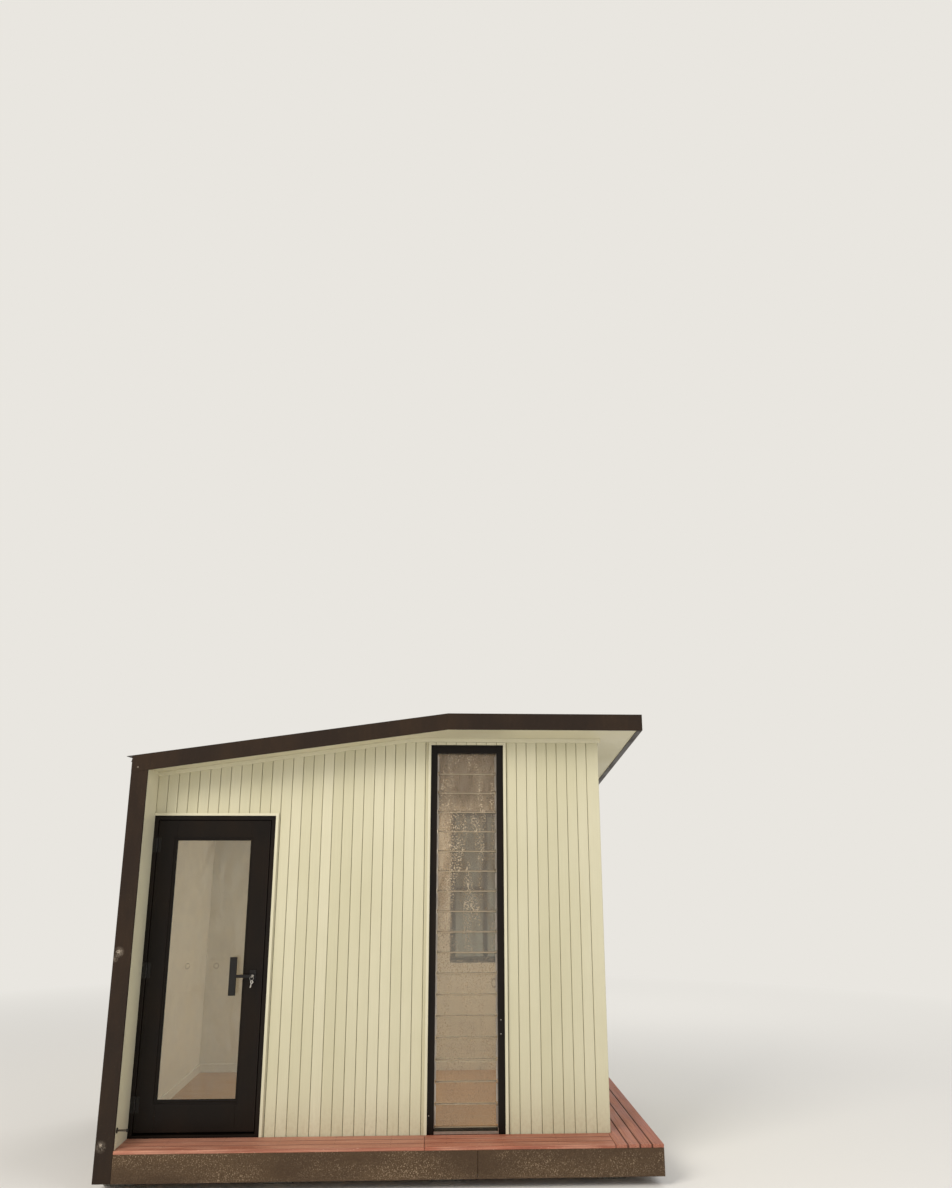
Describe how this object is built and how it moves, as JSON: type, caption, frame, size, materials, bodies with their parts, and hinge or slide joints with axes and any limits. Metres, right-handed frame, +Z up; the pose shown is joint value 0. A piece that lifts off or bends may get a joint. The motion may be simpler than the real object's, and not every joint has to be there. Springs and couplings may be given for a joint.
{
  "type": "garden office pod",
  "caption": "Small timber-framed garden room with a low hipped roof, framed recessed front, glazed hinged door, tall louvre window and hardwood deck.",
  "frame": {"origin": "on the ground under the middle of the plan", "axes": "+X to the right along the front, +Y from the front to the rear, +Z up; the door faces -Y"},
  "size_m": [3.705, 2.5, 3.067],
  "materials": {
    "concrete": "rough cast concrete",
    "framing_timber": "sawn treated softwood",
    "floor_panel": "sealed timber panel",
    "deck_timber": "oiled reddish hardwood, weathered",
    "base_panel": "matt charcoal paint, dusty",
    "wall_paint": "satin pale sage paint on grooved boards",
    "dark_wall": "satin charcoal",
    "fin_paint": "satin pale sage paint",
    "edge_metal": "satin charcoal folded metal",
    "soffit_paint": "flat pale sage paint",
    "ceiling_paint": "flat off-white paint",
    "roof_metal": "satin charcoal roofing",
    "bead_paint": "satin pale sage paint",
    "frame_metal": "satin black powder coat",
    "clear_glass": "clear float glass, a little dusty",
    "gallery_metal": "satin mill aluminium",
    "black_hardware": "satin black",
    "stop_metal": "dull steel and rubber"
  },
  "bodies": {
    "pod": {"footing_pads": "concrete", "floor_joists": "framing_timber", "rim_joists": "framing_timber", "floor_sheet": "floor_panel", "deck_front_boards": "deck_timber", "deck_side_boards": "deck_timber", "deck_fascia": "base_panel", "base_skirts": "base_panel", "left_wall": "dark_wall", "fin_lining": "fin_paint", "fin_front_trim": "edge_metal", "front_wall_over_door": "wall_paint", "front_wall_middle": "wall_paint", "front_wall_over_window": "wall_paint", "front_wall_right": "wall_paint", "right_wall": "wall_paint", "back_wall_sides": "wall_paint", "back_wall_panels": "wall_paint", "roof_core_left": "ceiling_paint", "roof_core_main": "ceiling_paint", "soffit_left": "soffit_paint", "soffit_main": "soffit_paint", "fascia_front_left": "edge_metal", "fascia_front_right": "edge_metal", "fascia_right": "edge_metal", "fascia_left": "edge_metal", "fascia_rear": "edge_metal", "roof_sheet_left": "roof_metal", "roof_sheet_main": "roof_metal", "hip_cap": "roof_metal", "soffit_bead": "bead_paint", "opening_beads": "bead_paint", "door_jambs": "frame_metal", "door_head": "frame_metal", "door_threshold": "frame_metal", "frame_hinges": "black_hardware", "door_stop": "stop_metal", "louvre_jambs": "frame_metal", "louvre_head_sill": "frame_metal", "louvre_galleries": "gallery_metal", "louvre_blades": "clear_glass", "back_window_frame": "frame_metal", "back_window_glass": "clear_glass"},
    "door": {"door_stiles": "frame_metal", "door_rails": "frame_metal", "door_glass": "clear_glass", "door_hinges": "black_hardware", "door_pull": "black_hardware"}
  },
  "joints": [
    {"name": "door_hinge", "type": "hinge", "parent": "pod", "child": "door", "pos_m": [-1.664, -0.9715, 1.25], "axis": [0, 0, -1], "range_deg": [0, 80]}
  ]
}
